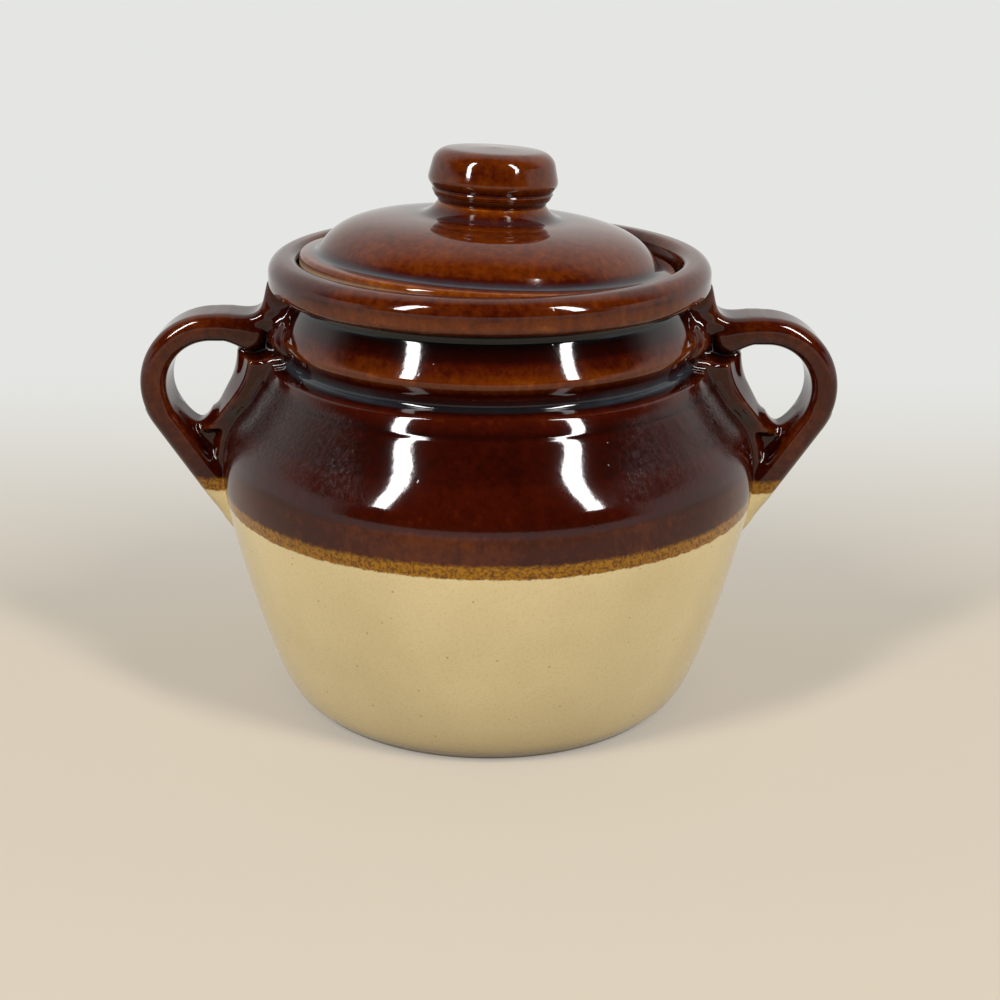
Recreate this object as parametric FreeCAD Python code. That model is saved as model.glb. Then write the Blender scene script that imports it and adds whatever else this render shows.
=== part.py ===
import FreeCAD, Part
import os
from math import asin, atan2, cos, degrees, radians, sin, sqrt, tan

# A two-handled stoneware bean pot with a loose domed lid, in millimetres.
# The pot stands on z = 0 with its axis on +Z, its handles along X and its front towards -Y.

# Lid
lid_radius = 59.8              # outside radius of the flange
flange_thickness = 3.9
flange_top_roll = 1.5
flange_foot_roll = 0.6
flange_width = 5.3             # width of the flange outside the dome
flange_rise = 0.6              # how much the flange climbs towards the dome
flange_land = 9.3              # width of the flat ring under the flange
dome_height = 17.5             # height of the dome's top above the flange's underside
dome_steepness = 57.0          # slope of the dome where it leaves the flange, in degrees
dome_pull = 9.0                # how long the dome keeps that slope
dome_crown = 20.0              # how long the dome's top stays level
dome_foot_fillet = 2.4         # sweep between the flange and the dome
lid_wall = 6.0                 # clay thickness of the dome
hollow_crown = 7.0             # how far the level top of the dome's hollow reaches past the knob

# The lid as it lies: slid to one side, so that one edge climbs the wall of the seat
lid_cant = 3.4                 # how far the lid leans, in degrees
lid_high_side = 214.0          # direction of the lid's higher edge, in degrees from +X
lid_gap = 0.35                 # clearance between the lid and the seat where it bears

# Knob
knob_radius = 20.4
knob_height = 21.5             # from the dome to the top of the knob
knob_foot_radius = 19.4        # radius of the knob's foot on the dome
knob_neck_radius = 16.9
knob_neck_height = 4.5         # height of the neck's narrowest point above the dome
knob_neck_sweep = 3.0          # rounding of the neck
knob_ring_radius = 18.9        # radius of the ring at the foot of the head
knob_ring_height = 8.2         # height of that ring's top above the dome
knob_ring_edge = 0.6           # rounding of the ring
knob_groove = 0.5              # depth of the groove between the ring and the head
knob_head_rise = 2.8           # height over which the head swells out above the groove
knob_head_roll = 3.2           # rounding at the head's widest point
knob_lean = 2.4                # how much narrower the head is at its top edge
knob_shoulder = 5.4            # rounding of the knob's top edge
knob_crown = 0.9               # how far the middle of the top stands above its edge

# Rim and the seat for the lid
lid_play = 0.4                 # gap between the flange and the wall round the ledge
seat_depth = 9.7               # depth of the ledge under the crest
seat_width = 4.4               # width of the ledge that a level lid lies on
seat_taper = 4.0               # how far the wall round the ledge leans out, in degrees
seat_edge = 1.0                # rounding of the ledge's corners
ledge_height = 5.5             # thickness of the ledge at the throat
ledge_sweep = 2.0              # rounding under the ledge
rim_height = 10.2              # height of the rolled rim, from its underside to the crest
rim_overhang = 2.6             # how far the rim stands proud of the neck
rim_outer_roll = 5.0           # rounding of the crest towards the outside
rim_inner_roll = 3.2           # rounding of the crest towards the mouth
rim_under_roll = 2.4           # rounding of the rim's lower outer edge

# Neck
neck_height = 33.2             # from the crease above the shoulder to the rim's crest
seat_wall = 7.5                # clay from the lid's seat to the outside of the neck
neck_wall = 9.2                # clay thickness of the neck at the band
crease_depth = 3.1             # how far the crease lies inside the neck's band
crease_rounding = 1.6
groove_slope = 0.8             # how much the groove above the crease widens towards the band
band_lift = 8.6                # height of the band's lower edge above the crease
band_slope = 4.0               # height over which the groove turns into the band
band_rounding = 4.0

# Belly and shoulder
belly_radius = 87.0            # widest radius of the pot
belly_height = 75.0            # height of the widest point
shoulder_height = 111.4        # height where the shoulder rolls over to the crease
shoulder_ledge = 3.3           # how far the shoulder's end stands outside the neck
shoulder_lip = 1.6             # length and rounding of the shoulder's top edge
crease_lift = 2.6              # height of the crease above the shoulder's end
wall = 6.6                     # clay thickness of the belly

# Foot and base
foot_radius = 65.2             # outside radius just above the bevelled foot edge
foot_edge = 3.0                # height and width of the bevel that softens the foot
foot_ring = 9.0                # width of the ring that the pot stands on
base_recess = 1.2              # how far the middle of the underside is lifted off the table
floor_thickness = 8.0          # clay under the inside of the pot, above the recess
floor_margin = 17.2            # from the foot's radius to the flat part of the floor inside

# Fullness of the wall's curves: where each curve's two pulls lie, as shares out and up of its span
foot_curve = ((0.317, 0.044), (1.0, 0.881))
shoulder_curve = ((0.0, 0.503), (0.403, 0.490))
inner_shoulder_curve = ((0.0, 0.310), (1.0, 0.487))
inner_foot_curve = ((0.0, 0.562), (0.568, 1.0))

# Handles
strap_width = 20.0             # width of the strap along Y
strap_thickness = 8.6
strap_drop = 19.2              # height of the rim's crest above the top of the strap
loop_play = 1.2                # how much smaller than half the loop's height its radius is
loop_root_reach = 10.1         # the loop's upper inside corner, outwards from the neck
loop_foot_reach = 5.7          # the loop's lowest inside corner, outwards from the belly
loop_foot_lift = 12.0          # the same corner, above the widest point of the belly
loop_bulge = 3.6               # how far the loop's centre lies outside the middle of those corners
loop_corner = 4.0              # rounding of the loop's two inside corners
tail_drop = 32.6               # depth of the strap's buried lower end under the belly's widest point
tail_bury = 11.4               # how far that end lies inside the belly's radius
root_fillet = 5.5              # sweep between the strap's top and the rim
root_inset = 0.5               # how far the root lies inside the rim's outer edge
outer_edge = 4.0               # rounding of the strap's outer edges
inner_edge = 2.4               # rounding of the edges round the loop

# Derived sizes
seat_radius = lid_radius + lid_play
throat_radius = seat_radius - seat_width
mouth_radius = seat_radius + seat_depth * tan(radians(seat_taper))
neck_radius = seat_radius + seat_wall
inner_neck_radius = neck_radius - neck_wall
rim_radius = neck_radius + rim_overhang
crease_radius = neck_radius - crease_depth
shoulder_radius = neck_radius + shoulder_ledge
crease_height = shoulder_height + crease_lift
rim_top = crease_height + neck_height
under_rim = rim_top - rim_height
seat_height = rim_top - seat_depth
floor_height = base_recess + floor_thickness
strap_top = rim_top - strap_drop
loop_top = strap_top - strap_thickness
loop_radius = (loop_top - belly_height - loop_foot_lift) / 2 - loop_play


def vector(x, z):
    return FreeCAD.Vector(x, 0, z)


def along(angle, length):
    """A step of that length, at angle degrees from +X towards +Z."""
    return vector(length * cos(radians(angle)), length * sin(radians(angle)))


def straight(start, end):
    """One straight edge, as a list, or none where the two points meet."""
    if start.distanceToPoint(end) < 1e-6:
        return []
    return [Part.LineSegment(start, end).toShape()]


def curve(poles):
    bezier = Part.BezierCurve()
    bezier.setPoles(poles)
    return bezier.toShape()


def swell(start, end, shares):
    """One curved edge from start to end, its two pulls at shares (out, up) of the span."""
    span = end - start
    pulls = [vector(start.x + out * span.x, start.z + up * span.z) for out, up in shares]
    return curve([start, *pulls, end])


def rounded(corners):
    """Edges of a line through corners (x, z, radius), with its inner corners rounded."""
    points = [vector(x, z) for x, z, _ in corners]
    edges, start = [], points[0]
    for index in range(1, len(points) - 1):
        corner, radius = points[index], corners[index][2]
        back = (points[index - 1] - corner).normalize()
        ahead = (points[index + 1] - corner).normalize()
        half = back.getAngle(ahead) / 2
        centre = corner + (back + ahead).normalize() * (radius / sin(half))
        first = corner + back * (radius / tan(half))
        last = corner + ahead * (radius / tan(half))
        middle = centre + (corner - centre).normalize() * radius
        edges += straight(start, first)
        edges.append(Part.Arc(first, middle, last).toShape())
        start = last
    return edges + straight(start, points[-1])


def rounded_loop(corners):
    """A closed wire through corners (x, z, radius), with every corner rounded."""
    first, last = corners[0], corners[-1]
    middle = ((first[0] + last[0]) / 2, (first[1] + last[1]) / 2, 0)
    return Part.Wire(rounded([middle] + corners + [middle]))


def turned(edges):
    """The solid that a closed outline makes when it is turned about the Z axis."""
    face = Part.Face(Part.Wire(Part.__sortEdges__(edges)))
    return face.revolve(FreeCAD.Vector(0, 0, 0), FreeCAD.Vector(0, 0, 1), 360)


def belly_outside():
    """Outside of the pot from the foot's bevel to the end of the shoulder."""
    foot = vector(foot_radius, foot_edge)
    widest = vector(belly_radius, belly_height)
    shoulder = vector(shoulder_radius, shoulder_height)
    return [swell(foot, widest, foot_curve), swell(widest, shoulder, shoulder_curve)]


def shoulder_end():
    """The point past the shoulder's end, in the direction in which the shoulder arrives."""
    out, up = shoulder_curve[1]
    arriving = vector((1 - out) * (shoulder_radius - belly_radius), (1 - up) * (shoulder_height - belly_height))
    return vector(shoulder_radius, shoulder_height) + arriving.normalize() * shoulder_lip


def foot_outside():
    """Underside of the pot from the axis to the top of the foot's bevel."""
    ring_outer = foot_radius - foot_edge
    ring_inner = ring_outer - foot_ring
    points = [
        vector(0, base_recess),
        vector(ring_inner, base_recess),
        vector(ring_inner + base_recess, 0),
        vector(ring_outer, 0),
        vector(foot_radius, foot_edge),
    ]
    return [edge for pair in zip(points, points[1:]) for edge in straight(*pair)]


def neck_corners():
    """Corners of the neck and the outside of the rim, from the shoulder up to the crest."""
    lip = shoulder_end()
    band_foot = crease_height + band_lift
    return [
        (shoulder_radius, shoulder_height, 0),
        (lip.x, lip.z, shoulder_lip),
        (crease_radius, crease_height, crease_rounding),
        (crease_radius + groove_slope, band_foot - band_slope, band_rounding),
        (neck_radius, band_foot, band_rounding),
        (neck_radius, under_rim - rim_overhang / 2, rim_under_roll),
        (rim_radius, under_rim + rim_overhang / 2, rim_under_roll),
        (rim_radius, rim_top, rim_outer_roll),
    ]


def seat_corners():
    """Corners of the mouth, from the crest down to the inside of the neck."""
    ledge_foot = seat_height - ledge_height
    return [
        (mouth_radius, rim_top, rim_inner_roll),
        (seat_radius, seat_height, seat_edge),
        (throat_radius, seat_height, seat_edge),
        (throat_radius, ledge_foot, ledge_sweep),
        (inner_neck_radius, ledge_foot - (inner_neck_radius - throat_radius), ledge_sweep),
        (inner_neck_radius, crease_height, 0),
    ]


def pot_inside():
    """Inside of the pot from under the neck to the middle of the floor."""
    top = vector(inner_neck_radius, crease_height)
    widest = vector(belly_radius - wall, belly_height)
    floor_edge = vector(foot_radius - floor_margin, floor_height)
    sides = [swell(top, widest, inner_shoulder_curve), swell(widest, floor_edge, inner_foot_curve)]
    return sides + straight(floor_edge, vector(0, floor_height))


def pot_body():
    crest = rounded(neck_corners() + seat_corners())
    axis = straight(vector(0, floor_height), vector(0, base_recess))
    return turned(foot_outside() + belly_outside() + crest + pot_inside() + axis)


def pot_outer():
    """The pot as one full block, which the handles are fitted against."""
    crest = rounded(neck_corners() + [(0, rim_top, 0)])
    axis = straight(vector(0, rim_top), vector(0, base_recess))
    return turned(foot_outside() + belly_outside() + crest + axis)


def loop_root():
    return vector(neck_radius + loop_root_reach, loop_top)


def loop_foot():
    return vector(belly_radius + loop_foot_reach, belly_height + loop_foot_lift)


def loop_centre():
    return vector((loop_root().x + loop_foot().x) / 2 + loop_bulge, loop_top - loop_radius)


def corner_above(point, radius, height):
    """Where a line from point, past the outside of the loop at that radius, meets that height."""
    to_centre = loop_centre() - point
    lean = degrees(atan2(to_centre.z, to_centre.x) - asin(radius / to_centre.Length))
    return point.x + (height - point.z) / tan(radians(lean))


def loop_corners():
    """Corners of the finger hole: root, outer corner and foot."""
    root, foot = loop_root(), loop_foot()
    return [
        (root.x, loop_top, loop_corner),
        (corner_above(foot, loop_radius, loop_top), loop_top, loop_radius),
        (foot.x, foot.z, loop_corner),
    ]


def strap_corners():
    """Corners of the handle's outside, with its root and tail buried in the pot."""
    outer_radius = loop_radius + strap_thickness
    root_x = rim_radius - root_inset
    root_top = rim_top - rim_height / 2
    tail = vector(belly_radius - tail_bury, belly_height - tail_drop)
    return [
        (throat_radius, root_top, outer_edge),
        (root_x, root_top, outer_edge),
        (root_x, strap_top, root_fillet),
        (corner_above(tail, outer_radius, strap_top), strap_top, outer_radius),
        (tail.x, tail.z, outer_edge),
        (throat_radius, tail.z, outer_edge),
    ]


def strap_block(outline):
    """The closed outline as a block as wide as the strap, centred on y = 0."""
    block = Part.Face(outline).extrude(FreeCAD.Vector(0, strap_width, 0))
    block.translate(FreeCAD.Vector(0, -strap_width / 2, 0))
    return block


def edges_along(solid, outline):
    """Edges of the solid that follow the outline on its two flat sides."""
    found = []
    for edge in solid.Edges:
        middle = edge.valueAt((edge.FirstParameter + edge.LastParameter) / 2)
        flat = Part.Vertex(middle.x, 0, middle.z)
        on_side = abs(abs(middle.y) - strap_width / 2) < 1e-3 and edge.BoundBox.YLength < 1
        if on_side and flat.distToShape(outline)[0] < 1e-3:
            found.append(edge)
    return found


def handle(outer):
    """The right-hand handle, cut to lie on the pot's surface."""
    strap = rounded_loop(strap_corners())
    hole = rounded_loop(loop_corners())
    block = strap_block(strap)
    block = block.makeFillet(outer_edge, edges_along(block, strap))
    loop = block.cut(strap_block(hole))
    loop = loop.makeFillet(inner_edge, edges_along(loop, hole))
    return max(loop.cut(outer).Solids, key=lambda solid: solid.Volume)


def lid():
    """The lid in its own frame: the flange's underside is on z = 0."""
    corner = vector(lid_radius - flange_width, flange_thickness + flange_rise)
    foot = corner + along(180 - dome_steepness, dome_foot_fillet)
    crown = vector(knob_foot_radius, dome_height)
    inner_foot = vector(lid_radius - flange_land, 0)
    inner_crown = vector(0, dome_height - lid_wall)
    flange = rounded([
        (inner_foot.x, 0, 0),
        (lid_radius, 0, flange_foot_roll),
        (lid_radius, flange_thickness, flange_top_roll),
        (corner.x, corner.z, dome_foot_fillet),
        (foot.x, foot.z, 0),
    ])
    steep = along(180 - dome_steepness, dome_pull)
    outside = curve([foot, foot + steep, crown + vector(dome_crown, 0), crown])
    level = vector(knob_foot_radius + hollow_crown, 0)
    hollow = curve([inner_crown, inner_crown + level, inner_foot + steep, inner_foot])
    top = straight(crown, vector(0, dome_height))
    axis = straight(vector(0, dome_height), inner_crown)
    return turned(flange + [outside, hollow] + top + axis)


def lid_knob():
    """The knob in the lid's frame, standing on the flat middle of the dome."""
    ring_top = dome_height + knob_ring_height
    crown = dome_height + knob_height
    outline = rounded([
        (knob_foot_radius, dome_height, 0),
        (knob_neck_radius, dome_height + knob_neck_height, knob_neck_sweep),
        (knob_ring_radius, ring_top - knob_ring_edge, knob_ring_edge),
        (knob_ring_radius - knob_groove, ring_top, knob_ring_edge / 2),
        (knob_radius, ring_top + knob_head_rise, knob_head_roll),
        (knob_radius - knob_lean, crown - knob_crown, knob_shoulder),
        (0, crown, 0),
    ])
    axis = straight(vector(0, crown), vector(0, dome_height))
    foot = straight(vector(0, dome_height), vector(knob_foot_radius, dome_height))
    return turned(outline + axis + foot)


def wall_radius(height):
    """Radius of the seat's wall and of the crest's inner roll at that height."""
    roll_start = rim_top - rim_inner_roll
    leaning = seat_radius + (min(height, roll_start) - seat_height) * tan(radians(seat_taper))
    rise = min(max(height - roll_start, 0), rim_inner_roll)
    return leaning + rim_inner_roll - sqrt(rim_inner_roll ** 2 - rise ** 2)


def laid_in_seat(shape):
    """The shape moved from the lid's own frame to where the lid lies in the rim."""
    lean = radians(lid_cant)
    lift = lid_radius * sin(lean)
    centre_height = seat_height + lid_gap + lift
    slide = wall_radius(centre_height + lift) - lid_gap - lid_radius * cos(lean)
    high_side = FreeCAD.Vector(cos(radians(lid_high_side)), sin(radians(lid_high_side)), 0)
    laid = shape.copy()
    laid.rotate(FreeCAD.Vector(0, 0, 0), high_side.cross(FreeCAD.Vector(0, 0, 1)), lid_cant)
    laid.translate(high_side * slide + FreeCAD.Vector(0, 0, centre_height))
    return laid


def main():
    os.makedirs("parts", exist_ok=True)
    right = handle(pot_outer())
    nodes = {
        "pot_body": pot_body(),
        "handle_left": right.mirror(FreeCAD.Vector(0, 0, 0), FreeCAD.Vector(1, 0, 0)),
        "handle_right": right,
        "lid": laid_in_seat(lid()),
        "lid_knob": laid_in_seat(lid_knob()),
    }
    for name, shape in nodes.items():
        shape.exportStep(f"parts/{name}.step")
        box = shape.BoundBox
        print(f"{name}: valid {shape.isValid()}, {len(shape.Solids)} solid, {shape.Volume / 1000:.1f} cm3,",
              f"x {box.XMin:.1f} {box.XMax:.1f}, y {box.YMin:.1f} {box.YMax:.1f}, z {box.ZMin:.1f} {box.ZMax:.1f}")


main()
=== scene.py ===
import bpy
import math
import numpy as np
from mathutils import Matrix, Vector


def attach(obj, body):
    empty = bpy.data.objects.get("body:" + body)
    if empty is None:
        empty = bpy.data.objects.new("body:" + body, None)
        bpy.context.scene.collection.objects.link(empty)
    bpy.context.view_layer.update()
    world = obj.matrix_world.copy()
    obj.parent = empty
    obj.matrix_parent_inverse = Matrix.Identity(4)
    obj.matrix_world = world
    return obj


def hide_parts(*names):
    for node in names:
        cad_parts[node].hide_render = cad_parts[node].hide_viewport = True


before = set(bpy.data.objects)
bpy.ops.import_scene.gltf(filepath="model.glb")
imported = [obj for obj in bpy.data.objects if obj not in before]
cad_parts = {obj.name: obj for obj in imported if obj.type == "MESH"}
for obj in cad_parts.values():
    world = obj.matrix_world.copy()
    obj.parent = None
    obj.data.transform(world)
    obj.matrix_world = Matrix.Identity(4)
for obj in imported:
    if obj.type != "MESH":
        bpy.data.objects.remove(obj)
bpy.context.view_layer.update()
mm = 0.001
print("frame loaded:", ", ".join(sorted(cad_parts)))


def addNode(tree, kind, inputs=None, **settings):
    # the settings come first, because some of them change the sockets
    node = tree.nodes.new(kind)
    for name, value in settings.items():
        setattr(node, name, value)
    for name, value in (inputs or {}).items():
        socket = node.inputs[name]
        if isinstance(value, bpy.types.NodeSocket):
            tree.links.new(value, socket)
        else:
            socket.default_value = value
    return node


def emptyTree(owner):
    # the node tree of a material or a world, with nothing in it
    owner.use_nodes = True
    owner.node_tree.nodes.clear()
    return owner.node_tree


def addObject(name, data):
    thing = bpy.data.objects.new(name, data)
    bpy.context.scene.collection.objects.link(thing)
    return thing


def paintPoints(mesh, name, values):
    mesh.attributes.new(name, "FLOAT", "POINT").data.foreach_set("value", values.astype(np.float32))


def tone(red, green, blue):
    # a colour as a screen shows it, 0 to 255, turned into scene light
    shares = [channel / 255 for channel in (red, green, blue)]
    return tuple(c / 12.92 if c <= 0.04045 else ((c + 0.055) / 1.055) ** 2.4 for c in shares) + (1.0,)


def clamp(values):
    return np.minimum(np.maximum(values, 0.0), 1.0)


def easeBetween(start, end, values):
    share = clamp((values - start) / (end - start))
    return share * share * (3 - 2 * share)


def unit(vector):
    return vector / np.linalg.norm(vector)


# a profile is a row of points, each (radius, height) in millimetres

def bezierPoints(start, pullOut, pullIn, end, count):
    t = np.linspace(0, 1, count)[:, None]
    poles = [np.array(p, float) for p in (start, pullOut, pullIn, end)]
    return ((1 - t) ** 3 * poles[0] + 3 * t * (1 - t) ** 2 * poles[1]
            + 3 * t * t * (1 - t) * poles[2] + t ** 3 * poles[3])


def swellPoints(start, end, shares, count=120):
    # a curve whose two pulls are shares of the way out and up
    span = (end[0] - start[0], end[1] - start[1])
    pulls = [(start[0] + out * span[0], start[1] + up * span[1]) for out, up in shares]
    return bezierPoints(start, pulls[0], pulls[1], end, count)


def roundedPoints(corners, steps=14):
    # a line through corners (radius, height, rounding)
    points = [np.array(corner[:2], float) for corner in corners]
    line = [points[0]]
    for index in range(1, len(points) - 1):
        corner, radius = points[index], corners[index][2]
        back, ahead = unit(points[index - 1] - corner), unit(points[index + 1] - corner)
        half = math.acos(float(np.clip(back @ ahead, -1, 1))) / 2
        if radius == 0 or abs(math.cos(half)) < 1e-4:
            line.append(corner)
            continue
        middle = unit(back + ahead)
        centre = corner + middle * radius / math.sin(half)
        turn = math.pi / 2 - half
        for share in np.linspace(-1, 1, steps):
            side = back if share < 0 else ahead
            across = unit(side - middle * (side @ middle))
            angle = abs(share) * turn
            line.append(centre - middle * radius * math.cos(angle) + across * radius * math.sin(angle))
    return np.array(line + [points[-1]])


def stepLengths(points):
    return np.linalg.norm(np.diff(points, axis=0), axis=1)


def evenly(points, spacing):
    points = points[np.concatenate([[True], stepLengths(points) > 1e-6])]
    along = np.concatenate([[0], np.cumsum(stepLengths(points))])
    at = np.linspace(0, along[-1], int(along[-1] / spacing) + 1)
    return np.stack([np.interp(at, along, points[:, k]) for k in (0, 1)], axis=1)


def glazeDepthAlong(points, spacing, reach):
    # how far wet glaze would settle: above 0 in a hollow, below 0 over an edge
    half = int(reach * 3 / spacing)
    weights = np.exp(-0.5 * (np.arange(-half, half + 1) * spacing / reach) ** 2)
    weights /= weights.sum()
    padded = np.pad(points, ((half, half), (0, 0)), mode="reflect", reflect_type="odd")
    smoothed = np.stack([np.convolve(padded[:, k], weights, mode="valid") for k in (0, 1)], axis=1)
    way = np.gradient(points, axis=0)
    way /= np.linalg.norm(way, axis=1)[:, None]
    outward = np.stack([way[:, 1], -way[:, 0]], axis=1)
    return ((smoothed - points) * outward).sum(axis=1)


wheel = {                         # how each turned piece is made, in millimetres and degrees
    "pin": 0.1,                   # radius of the ring that the profile runs round
    "step": 0.2,                  # between the profile's points, before they are thinned
    "bend": 4.0, "longest": 2.4,  # the next point that is kept lies this far round or along
    "weld": 0.02,                 # points on the axis that are this close become one
    "wipedEdge": 0.5,             # height over which the glaze ends above bare clay
}


def thinned(points, depth):
    # keeps more points where the line bends
    way = np.diff(points, axis=0)
    angle = np.degrees(np.unwrap(np.arctan2(way[:, 1], way[:, 0])))
    kept = [0]
    for index in range(1, len(points) - 1):
        bent = abs(angle[index] - angle[kept[-1]])
        if bent > wheel["bend"] or np.linalg.norm(points[index] - points[kept[-1]]) > wheel["longest"]:
            kept.append(index)
    kept.append(len(points) - 1)
    return points[kept], depth[kept]


def turnedTree():
    # runs a profile round the axis, with the slow unevenness of throwing
    tree = bpy.data.node_groups.new("turnedPiece", "GeometryNodeTree")
    sockets = {"Geometry": "NodeSocketGeometry", "Around": "NodeSocketInt", "Wander": "NodeSocketFloat",
               "Wander Scale": "NodeSocketFloat", "Seed": "NodeSocketFloat", "Glaze": "NodeSocketMaterial"}
    ids = {name: tree.interface.new_socket(name, in_out="INPUT", socket_type=kind).identifier
           for name, kind in sockets.items()}
    tree.interface.new_socket("Geometry", in_out="OUTPUT", socket_type="NodeSocketGeometry")
    given = addNode(tree, "NodeGroupInput").outputs
    profile = addNode(tree, "GeometryNodeMeshToCurve", {"Mesh": given["Geometry"]})
    ring = addNode(tree, "GeometryNodeCurvePrimitiveCircle",
                   {"Resolution": given["Around"], "Radius": wheel["pin"] * mm})
    swept = addNode(tree, "GeometryNodeCurveToMesh",
                    {"Curve": ring.outputs[0], "Profile Curve": profile.outputs[0]})
    closed = addNode(tree, "GeometryNodeMergeByDistance",
                     {"Geometry": swept.outputs[0], "Distance": wheel["weld"] * mm})
    place = addNode(tree, "GeometryNodeInputPosition")
    normal = addNode(tree, "GeometryNodeInputNormal")
    noise = addNode(tree, "ShaderNodeTexNoise",
                    {"Vector": place.outputs[0], "Scale": given["Wander Scale"], "W": given["Seed"],
                     "Detail": 1.0}, noise_dimensions="4D")
    amount = addNode(tree, "ShaderNodeMath", {0: noise.outputs[0], 1: given["Wander"]},
                     operation="MULTIPLY")
    # the normals still point into the clay here, so the wander never adds to the size
    shift = addNode(tree, "ShaderNodeVectorMath", {0: normal.outputs[0], "Scale": amount.outputs[0]},
                    operation="SCALE")
    moved = addNode(tree, "GeometryNodeSetPosition",
                    {"Geometry": closed.outputs[0], "Offset": shift.outputs[0]})
    smooth = addNode(tree, "GeometryNodeSetShadeSmooth", {"Geometry": moved.outputs[0]})
    real = addNode(tree, "GeometryNodeRealizeInstances", {"Geometry": smooth.outputs[0]})
    glazed = addNode(tree, "GeometryNodeSetMaterial",
                     {"Geometry": real.outputs[0], "Material": given["Glaze"]})
    addNode(tree, "NodeGroupOutput", {0: glazed.outputs[0]})
    return tree, ids


turnedNodes, turnedInputs = turnedTree()


def facesOut(mesh):
    mesh.calc_loop_triangles()
    corners = np.array([v.co for v in mesh.vertices])
    tris = np.zeros(len(mesh.loop_triangles) * 3, np.int32)
    mesh.loop_triangles.foreach_get("vertices", tris)
    a, b, c = (corners[tris.reshape(-1, 3)[:, k]] for k in range(3))
    if (a * np.cross(b, c)).sum() < 0:
        mesh.flip_normals()


def settle(thing):
    # keeps the modifier's result as a plain mesh, with its faces pointing out
    bpy.context.view_layer.update()
    evaluated = thing.evaluated_get(bpy.context.evaluated_depsgraph_get())
    mesh = bpy.data.meshes.new_from_object(evaluated)
    thing.modifiers.clear()
    thing.data = mesh
    facesOut(mesh)


def turnedPiece(name, points, look, glaze, place=None):
    even = evenly(points, wheel["step"])
    line, depth = thinned(even, glazeDepthAlong(even, wheel["step"], look["glazeReach"]))
    mesh = bpy.data.meshes.new(name)
    mesh.from_pydata([((r - wheel["pin"]) * mm, -z * mm, 0) for r, z in line],
                     [(i, i + 1) for i in range(len(line) - 1)], [])
    paintPoints(mesh, "glazeDepth", depth)
    inner, below = look["wiped"]
    wiped = easeBetween(below + wheel["wipedEdge"], below, line[:, 1]) * (line[:, 0] > inner)
    paintPoints(mesh, "wipedClay", wiped)
    thing = addObject(name, mesh)
    turning = thing.modifiers.new("turning", "NODES")
    turning.node_group = turnedNodes
    turning[turnedInputs["Around"]] = look["around"]
    turning[turnedInputs["Wander"]] = look["wander"] * mm
    turning[turnedInputs["Wander Scale"]] = look["wanderScale"]
    turning[turnedInputs["Seed"]] = look["seed"]
    turning[turnedInputs["Glaze"]] = glaze
    settle(thing)
    if place is not None:
        thing.data.transform(place)
    size = thing.dimensions / mm
    print(f"{name}: {len(thing.data.polygons)} faces, {size.x:.1f} x {size.y:.1f} x {size.z:.1f} mm")
    return thing


glazeColours = {
    "edge": (142, 80, 8),         # thin over a convex edge
    "thin": (92, 38, 3),
    "body": (52, 10, 2),
    "thick": (31, 4, 1),
    "pool": (12, 5, 5),
    "milk": (54, 62, 70),         # the blue-grey bloom where glaze stands deepest
    "band": (156, 104, 2),
    "bandGrain": (98, 54, 2),
    "cream": (225, 203, 150),
    "creamDeep": (211, 188, 135),
    "speck": (124, 88, 46),
    "clay": (186, 158, 120),
    "footClay": (168, 156, 136),
}

# where on the way from thin to pooled glaze each colour stands
brownStops = ((0.0, "edge"), (0.24, "thin"), (0.46, "body"), (0.7, "thick"), (1.0, "pool"))

glazeLine = {                     # in millimetres
    "height": 71.8,               # middle of the ochre band
    "band": 4.0,                  # width of the band
    "wavy": 1.4, "ragged": 1.98,  # how far the clouds and the mottle push its edges
    "topFade": (-0.7, 1.1), "lowFade": (-0.35, 0.35),
}

grains = {                        # each noise: how many to the metre, detail, roughness, distortion
    "clouds": (26.0, 3.0, 0.55, 0.3),
    "runs": (210.0, 3.0, 0.6, 0.0),
    "mottle": (420.0, 4.0, 0.65, 0.0),
    "fine": (1500.0, 2.0, 0.6, 0.0),
    "band": (1000.0, 3.0, 0.7, 0.0),
    "cream": (40.0, 2.0, 0.5, 0.0),
    "wrinkle": (620.0, 3.0, 0.6, 0.6),
    "swim": (34.0, 1.0, 0.5, 0.0),
    "peel": (330.0, 2.0, 0.5, 0.0),
}

glazeFinish = {                   # lengths in millimetres
    "mostOverEdge": 0.45,         # an edge counts as no sharper than this
    # how softly the bands of painted light and shade begin and end
    "lightBandFade": 1.0, "runsDrawn": 0.22,
    "milkRuns": (0.7, 0.25), "milkAside": (16, 46),
    "bandGrain": (0.40, 0.64), "creamClouds": (0.35, 0.65), "creamShare": 0.35,
    "specks": 260.0, "specksFrom": 0.62, "speckSize": (0.05, 0.13), "speckShare": 0.55,
    "dust": (0.45, 0.75), "dustShare": 0.14,
    "bareFade": 0.3, "bareGrain": (0.35, 0.7), "bareRough": 0.6,
    "shoulderRise": (80, 97), "shoulderFall": (109, 113), "wearAside": (31, 48), "wearClouds": (0.3, 0.5),
    "mottleRough": 0.03, "pinholes": 0.06, "pinholeStrength": 0.4, "ior": 1.5, "specular": 0.38,
}


def ramp(tree, factor, stops):
    node = addNode(tree, "ShaderNodeValToRGB", {"Fac": factor})
    colours = node.color_ramp
    while len(colours.elements) < len(stops):
        colours.elements.new(0.5)
    for element, (at, colour) in zip(colours.elements, stops):
        element.position = at
        element.color = colour
    return node.outputs[0]


def maths(tree, operation, *values):
    return addNode(tree, "ShaderNodeMath", dict(enumerate(values)), operation=operation).outputs[0]


def times(tree, first, second):
    return maths(tree, "MULTIPLY", first, second)


def mixed(tree, share, first, second):
    return addNode(tree, "ShaderNodeMix", {0: share, 6: first, 7: second}, data_type="RGBA").outputs[2]


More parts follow.
